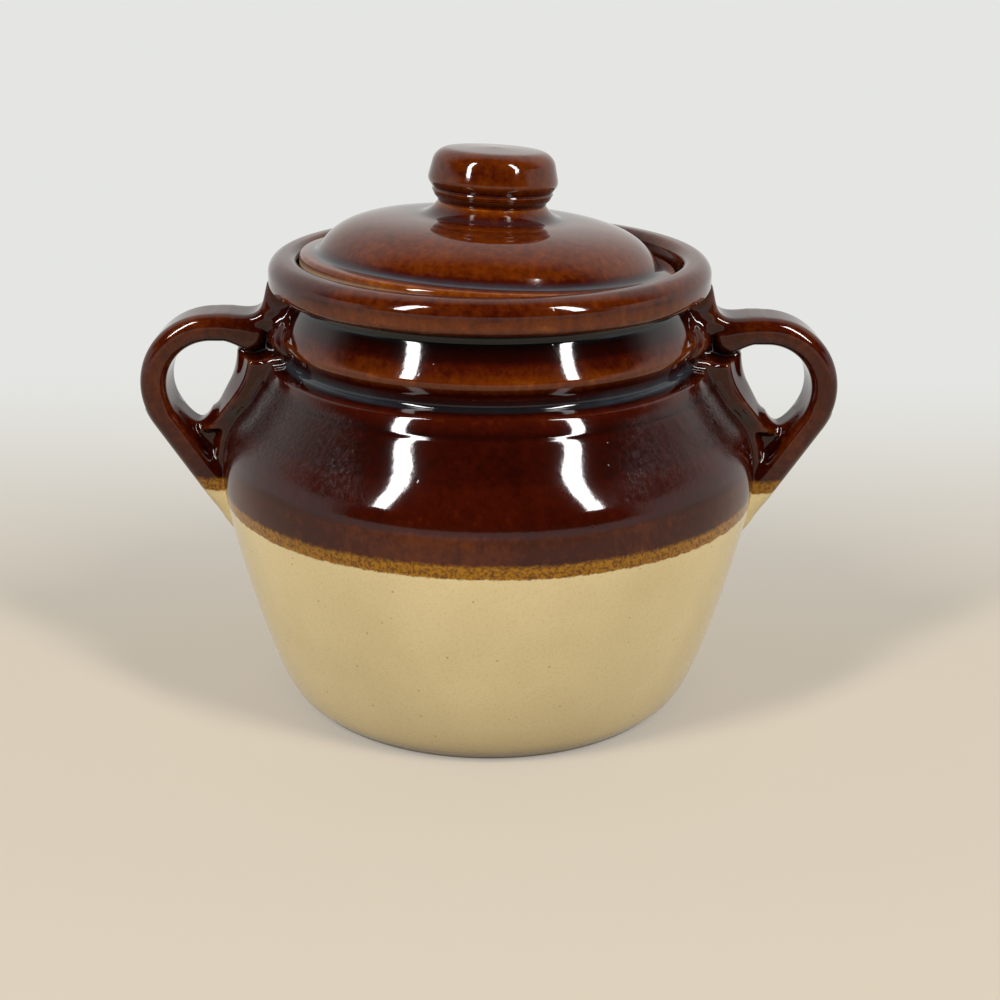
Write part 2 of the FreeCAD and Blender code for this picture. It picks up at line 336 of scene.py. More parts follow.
def grain(tree, vector, name):
    scale, detail, rough, distort = grains[name]
    return addNode(tree, "ShaderNodeTexNoise", {"Vector": vector, "Scale": scale, "Detail": detail,
                                                "Roughness": rough, "Distortion": distort}).outputs[0]


def stretched(tree, vector, scale):
    return addNode(tree, "ShaderNodeMapping", {"Vector": vector, "Scale": scale}).outputs[0]


def bumped(tree, height, distance, strength=1.0, under=None, **settings):
    # distance in millimetres, on top of the bump under it
    inputs = {"Height": height, "Strength": strength, "Distance": distance * mm}
    if under is not None:
        inputs["Normal"] = under
    return addNode(tree, "ShaderNodeBump", inputs, **settings).outputs[0]


def between(tree, value, start, end):
    return addNode(tree, "ShaderNodeMapRange", {"Value": value, "From Min": start, "From Max": end},
                   interpolation_type="SMOOTHSTEP").outputs[0]


def restOf(tree, share):
    return maths(tree, "SUBTRACT", 1.0, share)


def spanned(tree, value, span):
    # up from 0 to 1 over a span (from, to) in millimetres
    return between(tree, value, span[0] * mm, span[1] * mm)


def within(tree, value, rise, fall):
    # up to 1 over one span, and down to 0 again over another
    return times(tree, spanned(tree, value, rise), restOf(tree, spanned(tree, value, fall)))


def glazeMaterial(name, look):
    material = bpy.data.materials.new(name)
    tree = emptyTree(material)
    finish = glazeFinish
    colours = {key: tone(*value) for key, value in glazeColours.items()}
    place = addNode(tree, "ShaderNodeTexCoord").outputs["Object"]
    height = addNode(tree, "ShaderNodeSeparateXYZ", {0: place}).outputs["Z"]
    depth = addNode(tree, "ShaderNodeAttribute", attribute_name="glazeDepth").outputs["Fac"]

    clouds = grain(tree, place, "clouds")
    runs = grain(tree, stretched(tree, place, (1.0, 1.0, finish["runsDrawn"])), "runs")
    mottle = grain(tree, place, "mottle")
    fine = grain(tree, place, "fine")

    # how thick the glaze lies, with bands of painted light and shade added by height: 0 is thin, 1 is a
    # pool
    hollow = maths(tree, "MAXIMUM", depth, 0.0)
    edge = maths(tree, "MAXIMUM", maths(tree, "MINIMUM", depth, 0.0), -finish["mostOverEdge"])
    thickness = maths(tree, "MULTIPLY_ADD", hollow, look["hollowGain"], look["thickness"])
    thickness = maths(tree, "MULTIPLY_ADD", edge, look["edgeGain"], thickness)
    soft = finish["lightBandFade"]
    # painted light and shade in bands by height: thicker glaze gives painted shade, thinner glaze gives
    # painted light or reflection
    for low, high, more in look["paintedLightBands"]:
        lightBand = within(tree, height, (low - soft, low + soft), (high - soft, high + soft))
        thickness = maths(tree, "MULTIPLY_ADD", lightBand, more, thickness)
    for noise, amount in ((clouds, look["clouds"]), (runs, look["runs"]), (mottle, look["mottle"])):
        centred = maths(tree, "SUBTRACT", noise, 0.5)
        thickness = maths(tree, "MULTIPLY_ADD", centred, amount, thickness)
    brown = ramp(tree, thickness, [(at, colours[key]) for at, key in brownStops])
    milky = between(tree, depth, look["milkFrom"], look["milkTo"])
    milky = times(tree, milky, maths(tree, "MULTIPLY_ADD", runs, *finish["milkRuns"]))
    sideways = maths(tree, "ABSOLUTE", addNode(tree, "ShaderNodeSeparateXYZ", {0: place}).outputs["X"])
    aside = spanned(tree, sideways, finish["milkAside"])
    toSides = maths(tree, "MULTIPLY_ADD", aside, look["milkSides"], 1 - look["milkSides"])
    milky = times(tree, milky, toSides)
    brown = mixed(tree, times(tree, milky, look["milk"]), brown, colours["milk"])

    # the ochre band and the cream below it
    level = times(tree, maths(tree, "SUBTRACT", height, glazeLine["height"] * mm), 1 / mm)
    wavy = maths(tree, "MULTIPLY_ADD", maths(tree, "SUBTRACT", clouds, 0.5), glazeLine["wavy"], level)
    torn = maths(tree, "MULTIPLY_ADD", maths(tree, "SUBTRACT", mottle, 0.5), glazeLine["ragged"], wavy)
    half = glazeLine["band"] / 2
    aboveBand = between(tree, torn, *(half + fade for fade in glazeLine["topFade"]))
    aboveCream = between(tree, torn, *(fade - half for fade in glazeLine["lowFade"]))
    bandGrain = between(tree, grain(tree, place, "band"), *finish["bandGrain"])
    band = mixed(tree, bandGrain, colours["band"], colours["bandGrain"])
    creamClouds = between(tree, grain(tree, place, "cream"), *finish["creamClouds"])
    creamShare = times(tree, creamClouds, finish["creamShare"])
    cream = mixed(tree, creamShare, colours["cream"], colours["creamDeep"])
    cells = addNode(tree, "ShaderNodeTexVoronoi", {"Vector": place, "Scale": finish["specks"]}).outputs
    drawn = addNode(tree, "ShaderNodeSeparateColor", {0: cells["Color"]}).outputs[0]
    chosen = maths(tree, "GREATER_THAN", drawn, finish["specksFrom"])
    dots = restOf(tree, between(tree, cells["Distance"], *finish["speckSize"]))
    dots = times(tree, dots, chosen)
    cream = mixed(tree, times(tree, dots, finish["speckShare"]), cream, colours["speck"])
    dust = times(tree, between(tree, fine, *finish["dust"]), finish["dustShare"])
    cream = mixed(tree, dust, cream, colours["speck"])
    colour = mixed(tree, aboveCream, cream, mixed(tree, aboveBand, band, brown))

    # bare clay where the glaze was wiped off: foot, flange and the ledge that the lid lies on
    bare = addNode(tree, "ShaderNodeAttribute", attribute_name="wipedClay").outputs["Fac"]
    if "bareTop" in look:
        low, high, inner, outer = look["bareTop"]
        soft = finish["bareFade"]
        radius = addNode(tree, "ShaderNodeVectorMath", {0: stretched(tree, place, (1.0, 1.0, 0.0))},
                         operation="LENGTH").outputs["Value"]
        inBand = within(tree, height, (low - soft, low), (high, high + soft))
        inRing = within(tree, radius, (inner - soft, inner), (outer, outer + soft))
        bare = maths(tree, "MAXIMUM", bare, times(tree, inBand, inRing))
    clay = mixed(tree, between(tree, fine, *finish["bareGrain"]), colours["clay"], colours["footClay"])
    colour = mixed(tree, bare, colour, clay)

    # gloss, a little dull and wrinkled where the shoulder looks up
    shoulder = within(tree, height, finish["shoulderRise"], finish["shoulderFall"])
    wear = times(tree, shoulder, spanned(tree, sideways, finish["wearAside"]))
    wear = times(tree, wear, between(tree, clouds, *finish["wearClouds"]))
    wrinkle = grain(tree, place, "wrinkle")
    wrinkled = times(tree, wrinkle, wear)
    roughness = maths(tree, "MULTIPLY_ADD", wrinkled, look["scuffs"], look["roughness"])
    roughness = maths(tree, "MULTIPLY_ADD", mottle, finish["mottleRough"], roughness)
    roughness = maths(tree, "MULTIPLY_ADD", bare, finish["bareRough"], roughness)

    # the skin of the glaze: a slow swim, orange peel, wrinkles, and pinholes
    skin = bumped(tree, grain(tree, place, "swim"), look["swim"])
    skin = bumped(tree, grain(tree, place, "peel"), look["peel"], under=skin)
    skin = bumped(tree, wrinkled, look["wrinkles"], under=skin)
    pits = maths(tree, "MULTIPLY_ADD", fine, bare, dots)
    skin = bumped(tree, pits, finish["pinholes"], finish["pinholeStrength"], skin, invert=True)
    shader = addNode(tree, "ShaderNodeBsdfPrincipled",
                     {"Base Color": colour, "Roughness": roughness, "Normal": skin, "IOR": finish["ior"],
                      "Specular IOR Level": finish["specular"]})
    addNode(tree, "ShaderNodeOutputMaterial", {"Surface": shader.outputs[0]})
    return material


pot = {                           # (radius, height) in millimetres; a third number rounds the corner
    "around": 240, "wander": 0.10, "wanderScale": 22.0, "seed": 3.0, "glazeReach": 2.4,
    "wiped": (30.0, 0.5),         # bare clay outside this radius and under this height
    "foot": (65.2, 3.0), "footBevel": 3.0, "footRing": 9.0, "ringSlope": 1.2, "ringRounds": (1.0, 0.6, 0.8),
    "recess": 1.2, "belly": (87.0, 75.0), "shoulder": (71.0, 111.4), "lip": 1.6,
    "footCurve": ((0.317, 0.044), (1.0, 0.881)), "shoulderCurve": ((0.0, 0.503), (0.403, 0.490)),
    "crease": (64.6, 114.0, 1.6), "underRidge": (65.5, 118.0, 4.0), "ridge": (67.7, 121.6, 3.0),
    "neckTop": (62.1, 133.4, 2.4), "underRim": (62.9, 135.3, 1.2), "rimFoot": (70.3, 136.9, 3.0),
    "rimTop": (70.3, 147.2, 5.0), "mouth": (60.88, 147.2, 3.2), "seat": (60.2, 137.5, 1.0),
    "seatTaper": 4.0, "ledge": ((55.8, 137.5, 1.0), (55.8, 132.0, 2.0), (58.5, 129.3, 2.0)),
    "innerNeck": 58.5, "wall": 6.6, "floor": (48.0, 9.2),
    "innerShoulderCurve": ((0.0, 0.310), (1.0, 0.487)), "innerFootCurve": ((0.0, 0.562), (0.568, 1.0)),
    "stepHeight": 108.2, "stepWidth": 0.9, "stepDepth": 0.3, "stepWay": (0.75, 0.66),
}


def potOutside():
    foot, belly, shoulder = pot["foot"], pot["belly"], pot["shoulder"]
    ringOut = foot[0] - pot["footBevel"]
    ringIn = ringOut - pot["footRing"]
    rounds = pot["ringRounds"]
    base = roundedPoints([(0, pot["recess"], 0), (ringIn, pot["recess"], rounds[0]),
                          (ringIn + pot["ringSlope"], 0, rounds[1]), (ringOut, 0, rounds[2]), (*foot, 0)])
    wall = np.concatenate([swellPoints(foot, belly, pot["footCurve"]),
                           swellPoints(belly, shoulder, pot["shoulderCurve"])])
    arriving = unit(wall[-1] - wall[-2])
    # a shallow ring left by the throwing rib just under the shoulder's lip
    step = pot["stepDepth"] * np.exp(-((wall[:, 1] - pot["stepHeight"]) / pot["stepWidth"]) ** 2)
    wall = wall - step[:, None] * pot["stepWay"]
    lip = wall[-1] + arriving * pot["lip"]
    corners = [pot[key] for key in ("crease", "underRidge", "ridge", "neckTop", "underRim", "rimFoot",
                                    "rimTop", "mouth", "seat")]
    crest = roundedPoints([(*shoulder, 0), (*lip, pot["lip"]), *corners, *pot["ledge"],
                           (pot["innerNeck"], pot["crease"][1], 0)])
    return base, wall, crest


def potProfile():
    base, wall, crest = potOutside()
    neck = (pot["innerNeck"], pot["crease"][1])
    widest = (pot["belly"][0] - pot["wall"], pot["belly"][1])
    inside = np.concatenate([swellPoints(neck, widest, pot["innerShoulderCurve"]),
                             swellPoints(widest, pot["floor"], pot["innerFootCurve"]),
                             [(0, pot["floor"][1])]])
    return np.concatenate([base, wall, crest, inside])


potGlaze = glazeMaterial("twoToneGlaze", {
    "hollowGain": 0.5, "edgeGain": 0.36, "thickness": 0.58, "clouds": 0.34, "runs": 0.2, "mottle": 0.36,
    # bands of painted light and shade: each is from, to and how much thicker (darker) or thinner (lighter)
    # the glaze is made there
    # lower belly: thinner glaze and a painted warm reflection from below; shoulder: painted shade where it
    # faces up into the most light; neck band: painted light; under the rim: painted shadow; rim's lower
    # roll: painted warm reflection from below
    "paintedLightBands": ((60, 83, -0.12), (96, 114, 0.08), (115, 127.5, -0.12), (128, 134, 0.14), (134, 136.8, 0.12),
               (136.8, 142, -0.12)),
    "milkFrom": 0.22, "milkTo": 0.75, "milk": 0.7, "milkSides": 0.8, "roughness": 0.05, "scuffs": 0.42,
    "swim": 0.24, "peel": 0.016, "wrinkles": 0.15,
    "bareTop": (137.0, 138.6, 55.2, 60.6),          # lowest, highest, inner and outer
})

glazedPot = turnedPiece("glazedPot", potProfile(), pot, potGlaze)


lid = {
    "around": 220, "wander": 0.06, "wanderScale": 26.0, "seed": 8.0, "glazeReach": 2.2,
    "wiped": (49.0, 1.5), "radius": 59.8, "flange": 3.9, "flangeWidth": 5.3, "flangeRise": 0.6,
    "flangeLand": 9.3, "edgeRounds": (0.6, 1.5), "domeHeight": 17.5, "steepness": 57.0, "pull": 9.0,
    "crown": 20.0, "sweep": 2.4, "wall": 6.0, "hollowCrown": 26.4,
    "cant": 3.4, "highSide": 214.0, "gap": 0.35,    # how it lies in the rim
}
knob = {                          # heights are above the lid's dome
    "around": 160, "wander": 0.10, "wanderScale": 40.0, "seed": 5.0, "glazeReach": 1.5, "wiped": (0.0, 0.0),
    "foot": 19.4, "sink": 1.0, "footRound": 0.2, "neck": (17.1, 4.9, 1.8),
    "ring": ((18.6, 6.3, 0.8), (18.55, 6.7, 0.3), (19.3, 7.8, 0.6), (18.85, 8.3, 0.3)),
    "bun": ((20.7, 10.9, 3.0), (18.5, 20.6, 5.4), (0, 21.5, 0)),
    "flare": 24.5, "flareRise": 4.1, "flarePower": 2.6,     # the dome sweeps up to the neck from here
}


def lidProfile():
    corner = (lid["radius"] - lid["flangeWidth"], lid["flange"] + lid["flangeRise"])
    away = math.radians(180 - lid["steepness"])
    step = np.array((math.cos(away), math.sin(away)))
    foot = np.array(corner) + step * lid["sweep"]
    top = np.array((knob["foot"], lid["domeHeight"]))
    innerFoot = np.array((lid["radius"] - lid["flangeLand"], 0.0))
    innerTop = np.array((0.0, lid["domeHeight"] - lid["wall"]))
    hollow = bezierPoints(innerTop, innerTop + (lid["hollowCrown"], 0), innerFoot + step * lid["pull"],
                          innerFoot, 70)
    lowRound, highRound = lid["edgeRounds"]
    edge = roundedPoints([(*innerFoot, 0), (lid["radius"], 0, lowRound),
                          (lid["radius"], lid["flange"], highRound), (*corner, lid["sweep"]), (*foot, 0)])
    dome = bezierPoints(foot, foot + step * lid["pull"], top + (lid["crown"], 0), top, 90)
    radii = np.linspace(knob["flare"], knob["neck"][0], 30)
    swept = np.interp(radii, dome[::-1, 0], dome[::-1, 1])
    share = (knob["flare"] - radii) / (knob["flare"] - knob["neck"][0])
    flare = np.stack([radii, swept + knob["flareRise"] * share ** knob["flarePower"]], 1)
    dome = dome[dome[:, 0] > knob["flare"]]
    return np.concatenate([hollow, edge, dome, flare, [(0, flare[-1, 1])]])


def knobProfile():
    bottom = knob["flareRise"] - knob["sink"]               # reaches a little into the flare's clay
    corners = [(0, bottom, 0), (knob["neck"][0], bottom, knob["footRound"]), knob["neck"],
               *knob["ring"], *knob["bun"]]
    return roundedPoints([(radius, lid["domeHeight"] + up, rounding) for radius, up, rounding in corners])


def seatWall(height):
    # radius of the rim's inside: the taper of the seat, then the roll of the rim
    (seatRadius, seatHeight, _), (_, top, roll) = pot["seat"], pot["mouth"]
    rollStart = top - roll
    taper = math.tan(math.radians(pot["seatTaper"]))
    leaning = seatRadius + (min(height, rollStart) - seatHeight) * taper
    rise = min(max(height - rollStart, 0), roll)
    return leaning + roll - math.sqrt(roll ** 2 - rise ** 2)


def laidInSeat():
    # the lid's low side stands on the ledge, and its high side leans on the rim
    lean = math.radians(lid["cant"])
    lift = lid["radius"] * math.sin(lean)
    middle = pot["seat"][1] + lid["gap"] + lift
    slide = seatWall(middle + lift) - lid["gap"] - lid["radius"] * math.cos(lean)
    side = math.radians(lid["highSide"])
    high = Vector((math.cos(side), math.sin(side), 0))
    turn = Matrix.Rotation(lean, 4, high.cross(Vector((0, 0, 1))))
    return Matrix.Translation((high * slide + Vector((0, 0, middle))) * mm) @ turn


lidGlaze = glazeMaterial("brownGlaze", {
    "hollowGain": 0.5, "edgeGain": 0.34, "thickness": 0.38, "clouds": 0.3, "runs": 0.12, "mottle": 0.4,
    "paintedLightBands": (), "milkFrom": 0.16, "milkTo": 0.6, "milk": 0.8, "milkSides": 0.0, "roughness": 0.05,
    "scuffs": 0.0, "swim": 0.4, "peel": 0.016, "wrinkles": 0.0,
})

lying = laidInSeat()
glazedLid = turnedPiece("glazedLid", lidProfile(), lid, lidGlaze, lying)
glazedKnob = turnedPiece("glazedKnob", knobProfile(), knob, lidGlaze, lying)


# a handle is one body of clay, given by the distance to its surface: below 0 inside, above 0 outside
handle = {                        # places are (x, z) in millimetres, on the right-hand side
    "box": ((52.0, -38.4, 36.0), (115.0, 38.4, 145.2)), "cell": 0.6,
    "wallRadii": (44, 126), "wallHeights": (30, 150), "wallStep": 0.5,
    "strapHalf": 4.3, "strapWidth": 10.0, "outerRound": 4.2, "innerRound": 3.0,
    "stub": (76.4, 121.7), "shoulderStart": (84.0, 123.7), "loopCentre": (88.85, 104.4), "loopRadius": 15.0,
    "tail": (75.6, 42.4),
    # what grows along the handle is how much, from and to
    "stubSwell": (0.8, 84, 77), "tailDive": (3.0, 68, 52), "plateFlare": (4.4, 92, 102),
    "bridgeFlare": (1.4, 124, 130), "lowSoftness": (2.6, 93, 88),
    "holeSide": 80.3, "holeSlant": ((85.1, 103.5), (91.5, 91.6)), "holeTip": (92.7, 87.0), "holeTop": 119.4,
    "holeRounds": (4.0, 3.0, 9.0),                  # at the pot's side, the top and the tip
    "plateHalf": 8.4, "plateThick": 2.2, "plateTop": 114.4, "plateFoot": 90.0, "plateBack": 0.6,
    "plateDeep": 14.0, "plateRounds": (1.5, 1.8), "plateJoins": (2.0, 1.5),
    "crown": (0.3, 0.42), "crownBlunt": 2.0, "crownStart": (88, 94), "crownSteepens": (98, 109),
    "webHalf": 4.8, "webTop": 95.0, "webRound": 1.6, "webJoins": (2.0, 1.5), "throat": (110.0, 121.0),
    "bridgeHalf": 7.0, "bridgeFace": 71.6, "bridgeFoot": 117.0, "bridgeTop": 138.6, "bridgeRound": 2.4,
    "bridgeBend": (131.0, 0.022), "bridgeSweep": 10.0,
    "sweepUp": (121.0, 127.0), "sweepAcross": (12.5, 8.5),
    "toe": (7.6, 120.6), "toeSlant": 0.45,          # degrees round the pot from the handle, and height
    "toeSize": (3.6, 9.0, 6.0),                     # how thick, wide and tall
    "toeAbove": (0.6, 1.6, 2.0), "toeTurns": (-2, 6),       # its upper part is thinner, narrower and taller
    "joins": (4.0, 1.5, 3.0, 4.0),                  # plate to web, bridge, toe, and web to strap
    "crease": 0.9, "clayJoin": 1.0, "clayReach": 3.2, "underSkin": 0.14, "inWall": 1.8, "inset": 0.03,
}


def wallTable():
    # signed distance from the pot's outside, on a grid of radius and height
    _, wall, crest = potOutside()
    outside = evenly(np.concatenate([wall, crest]), 0.4)
    outside = outside[:int(np.argmax(outside[:, 1] >= pot["rimTop"][1] - 0.2)) + 1]
    radii, heights = (np.arange(*handle[key], handle["wallStep"]) for key in ("wallRadii", "wallHeights"))
    grid = np.stack(np.meshgrid(radii, heights, indexing="ij"), -1).reshape(-1, 2)
    nearest = np.full(len(grid), 1e9)
    for a, d in zip(outside[:-1], np.diff(outside, axis=0)):
        t = clamp(((grid - a) @ d) / (d @ d))
        nearest = np.minimum(nearest, np.hypot(*(grid - a - t[:, None] * d).T))
    order = np.argsort(outside[:, 1])
    edge = np.interp(grid[:, 1], outside[order, 1], outside[order, 0])
    signed = np.where(grid[:, 0] > edge, nearest, -nearest)
    return radii, heights, signed.reshape(len(radii), len(heights))


wallRadii, wallHeights, wallDistance = wallTable()


def fromPot(points):
    # the table's distance, blended between the four grid points around
    r = (np.hypot(points[:, 0], points[:, 1]) - wallRadii[0]) / handle["wallStep"]
    z = (points[:, 2] - wallHeights[0]) / handle["wallStep"]
    i = np.clip(r.astype(int), 0, len(wallRadii) - 2)
    k = np.clip(z.astype(int), 0, len(wallHeights) - 2)
    u, v = clamp(r - i), clamp(z - k)
    near = (1 - v) * wallDistance[i, k] + v * wallDistance[i, k + 1]
    far = (1 - v) * wallDistance[i + 1, k] + v * wallDistance[i + 1, k + 1]
    return (1 - u) * near + u * far


def joined(first, second, soft):
    share = clamp(0.5 + 0.5 * (second - first) / soft)
    return second + (first - second) * share - soft * share * (1 - share)


def common(first, second, soft):
    return -joined(-first, -second, soft)


def growing(setting, values):
    amount, start, end = setting
    return amount * easeBetween(start, end, values)


def toSegment(x, z, start, end):
    dx, dz = end[0] - start[0], end[1] - start[1]
    t = clamp(((x - start[0]) * dx + (z - start[1]) * dz) / (dx * dx + dz * dz))
    return np.hypot(x - start[0] - t * dx, z - start[1] - t * dz)


def roundedBar(inPlane, acrossHalf, across, rounding):
    # a flat shape in the handle's plane, as wide as acrossHalf to each side, with rounded edges
    a, b = inPlane + rounding, across - acrossHalf + rounding
    return np.minimum(np.maximum(a, b), 0) + np.hypot(np.maximum(a, 0), np.maximum(b, 0)) - rounding


def tangentFrom(point, centre, radius):
    # direction from point that just passes the outer side of the circle, and the point where it touches
    dx, dz = centre[0] - point[0], centre[1] - point[1]
    distance = math.hypot(dx, dz)
    lean = math.atan2(dz, dx) - math.asin(radius / distance)
    run = math.sqrt(distance ** 2 - radius ** 2)
    return lean, (point[0] + run * math.cos(lean), point[1] + run * math.sin(lean))


def strapForm(x, z, across):
    # from the stub over the loop and down the leg to the tail, which melts into the wall
    cx, cz = handle["loopCentre"]
    tailX, tailZ = handle["tail"]
    half = handle["strapHalf"]
    middle = handle["loopRadius"] + half
    lean, touch = tangentFrom(handle["tail"], (cx, cz), middle + half)
    inX, inZ = -math.sin(lean) * half, math.cos(lean) * half
    angle = np.arctan2(z - cz, x - cx)
    reach = np.hypot(x - cx, z - cz)
    onArc = (angle < math.pi / 2) & (angle > lean - math.pi / 2)
    spine = np.where(onArc, np.abs(reach - middle), 1e9)
    spine = np.minimum(spine, toSegment(x, z, handle["shoulderStart"], (cx, cz + middle)))
    spine = np.minimum(spine, toSegment(x, z, handle["stub"], handle["shoulderStart"])
                       - growing(handle["stubSwell"], x))
    leg = toSegment(x, z, (touch[0] + inX, touch[1] + inZ), (tailX + inX, tailZ + inZ))
    outerLine = (x - tailX) * math.sin(lean) - (z - tailZ) * math.cos(lean)
    outwards = np.where(onArc, reach - middle, np.where(z > cz, z - cz - middle, outerLine + half))
    rounding = np.where(outwards > 0, handle["outerRound"], handle["innerRound"])
    strap = roundedBar(np.minimum(spine, leg) - half, handle["strapWidth"], across, rounding)
    return strap + growing(handle["tailDive"], z), outerLine


def holeForm(x, z):
    # the loop's hole, a pear with its large round end up, and what lies on the pot's side of it
    atSide, atTop, atTip = handle["holeRounds"]
    (slantX, slantZ), (endX, endZ) = handle["holeSlant"]
    run = math.hypot(endX - slantX, endZ - slantZ)
    beyondSlant = ((x - slantX) * (endZ - slantZ) - (z - slantZ) * (endX - slantX)) / run
    beyondInner = common(handle["holeSide"] - x, beyondSlant, atSide)       # above 0 on the pot's side
    tipX, tipZ = handle["holeTip"]
    lean, _ = tangentFrom(handle["holeTip"], handle["loopCentre"], handle["loopRadius"])
    beyondLow = (x - tipX) * math.sin(lean) - (z - tipZ) * math.cos(lean)
    hole = common(common(z - handle["holeTop"], beyondInner, atTop), beyondLow, atTip)
    return hole, beyondInner


def plateForm(z, across, skin, beyondInner, inOutline):
    # lies on the pot, roofed towards the hole and sharp along its front edges
    low, high = handle["crown"]
    blunt = handle["crownBlunt"]
    steepness = low + (high - low) * easeBetween(*handle["crownSteepens"], z)
    roof = steepness * (np.sqrt(across * across + blunt * blunt) - blunt)
    roof = roof * easeBetween(*handle["crownStart"], z)
    half = handle["plateHalf"] + growing(handle["plateFlare"], z)
    atFoot, toThin = handle["plateJoins"]
    thickRound, thinRound = handle["plateRounds"]
    facing = np.maximum(-beyondInner + roof, skin - handle["plateDeep"])
    facing = common(facing, handle["plateFoot"] - z, atFoot)
    thick = roundedBar(np.maximum(facing, inOutline), half, across, thickRound)
    thin = roundedBar(np.maximum(skin - handle["plateThick"], inOutline), half, across, thinRound)
    return joined(thick, thin, toThin)


def webForm(x, z, across, hole, inOutline):
    # between the strap's leg and the plate, and deep in the gap between the plate's top and the stub
    half, rounding = handle["webHalf"], handle["webRound"]
    atHole, toThroat = handle["webJoins"]
    low, high = handle["throat"]
    web = np.maximum(common(inOutline, -hole, atHole), z - handle["webTop"])
    throat = np.maximum(x - handle["holeSide"], np.maximum(z - high, low - z))
    return joined(*(roundedBar(form, half, across, rounding) for form in (web, throat)), toThroat)


def bridgeForm(x, z, across):
    # behind the stub, where it carries the strap's sweep up to the rim
    bendHeight, bend = handle["bridgeBend"]
    lift = np.maximum(z - bendHeight, 0)
    face = x - handle["bridgeFace"] + bend * lift * lift
    bridge = np.maximum(face, np.maximum(z - handle["bridgeTop"], handle["bridgeFoot"] - z))
    half = handle["bridgeHalf"] + growing(handle["bridgeFlare"], z)
    return roundedBar(bridge, half, across, handle["bridgeRound"])


def toeForm(x, z, across, skin):
    # clay that is thumbed down on the neck, in front and behind
    toeAngle, toeHeight = handle["toe"]
    depth, wide, tall = handle["toeSize"]
    thinner, narrower, taller = handle["toeAbove"]
    above = easeBetween(*(toeHeight + turn for turn in handle["toeTurns"]), z)
    around = np.degrees(np.arctan2(across, x))
    slant = toeAngle - handle["toeSlant"] * (z - toeHeight)
    tu = (np.radians(around - slant) * np.hypot(x, across)) / (wide - narrower * above)
    tv = (z - toeHeight) / (tall + taller * above)
    tw = skin / (depth - thinner * above)
    return (np.sqrt(tu * tu + tv * tv + tw * tw) - 1) * depth


def handleField(points):
    x, y, z = points.T
    across, skin = np.abs(y), fromPot(points)
    strap, outerLine = strapForm(x, z, across)
    hole, beyondInner = holeForm(x, z)
    inOutline = np.maximum(outerLine + handle["plateBack"], z - handle["plateTop"])
    web = webForm(x, z, across, hole, inOutline)
    toWeb, toBridge, toToe, webToStrap = handle["joins"]
    body = joined(plateForm(z, across, skin, beyondInner, inOutline), web, toWeb)
    body = joined(body, bridgeForm(x, z, across), toBridge)
    body = joined(body, toeForm(x, z, across, skin), toToe)
    onTop = easeBetween(*handle["sweepUp"], z) * easeBetween(*handle["sweepAcross"], across)
    soft = handle["crease"] + (handle["bridgeSweep"] - handle["crease"]) * onTop
    soft = soft + growing(handle["lowSoftness"], z)
    return np.minimum(joined(body, strap, soft), joined(web, strap, webToStrap)), skin


def handleSkin(points):
    # the handle's clay as it runs out onto the pot, closed a little way inside the pot's wall
    body, skin = handleField(points)
    fused = joined(body, skin + handle["underSkin"], handle["clayJoin"])
    shell = np.maximum(fused, -(skin + handle["inWall"]))
    return np.maximum(shell, body - handle["clayReach"]) + handle["inset"]


def surfaceNet(field, low, high, cell):
    # one point in each cell that the surface crosses, and a face across each crossed edge
    axes = [np.arange(a, b + cell, cell) for a, b in zip(low, high)]
    shape = [len(a) for a in axes]
    values = np.empty(shape, np.float32)
    for i, x in enumerate(axes[0]):
        yy, zz = np.meshgrid(axes[1], axes[2], indexing="ij")
        values[i] = field(np.stack([np.full(yy.size, x), yy.ravel(), zz.ravel()], 1)).reshape(yy.shape)
    inside = values < 0
    total = np.zeros([n - 1 for n in shape] + [3], np.float32)
    count = np.zeros([n - 1 for n in shape], np.int32)
    crossings = []
    for axis in range(3):
        near, far = [slice(None)] * 3, [slice(None)] * 3
        near[axis], far[axis] = slice(0, -1), slice(1, None)
        a, b = values[tuple(near)], values[tuple(far)]
        cut = np.argwhere((a < 0) != (b < 0))
        first = a[tuple(cut.T)]
        share = first / (first - b[tuple(cut.T)])
        spot = cut.astype(np.float32)
        spot[:, axis] += share
        others = [k for k in range(3) if k != axis]
        for back in ((0, 0), (0, 1), (1, 0), (1, 1)):
            where = cut.copy()
            where[:, others] -= back
            good = ((where >= 0) & (where < np.array(count.shape))).all(1)
            at = tuple(where[good].T)
            np.add.at(total, at, spot[good])
            np.add.at(count, at, 1)
        crossings.append((axis, cut, inside[tuple(cut.T)]))
    used = count > 0
    number = np.full(count.shape, -1)
    number[used] = np.arange(used.sum())
    points = total[used] / count[used][:, None] * cell + np.array(low)
    faces = []
    for axis, cut, starts in crossings:
        others = [[1, 2], [2, 0], [0, 1]][axis]
        ring = []
        for back in ((1, 1), (0, 1), (0, 0), (1, 0)):
            where = cut.copy()
            where[:, others] -= back
            ring.append(number[tuple(where.T)])
        quad = np.stack(ring, 1)
        quad[~starts] = quad[~starts][:, ::-1]
        faces.append(quad)
    return ontoSurface(field, points.astype(float), cell), np.concatenate(faces)


def ontoSurface(field, points, cell, rounds=3, probe=0.05, flattest=0.3):
    # moves each point down or up the field's slope until it lies on the surface
    for _ in range(rounds):
        value = field(points)
        slope = np.stack([(field(points + step) - field(points - step)) / (2 * probe)
                          for step in np.eye(3) * probe], 1)
        length = np.maximum((slope ** 2).sum(1), flattest)
        points -= slope * (np.clip(value, -cell, cell) / length)[:, None]
    return points


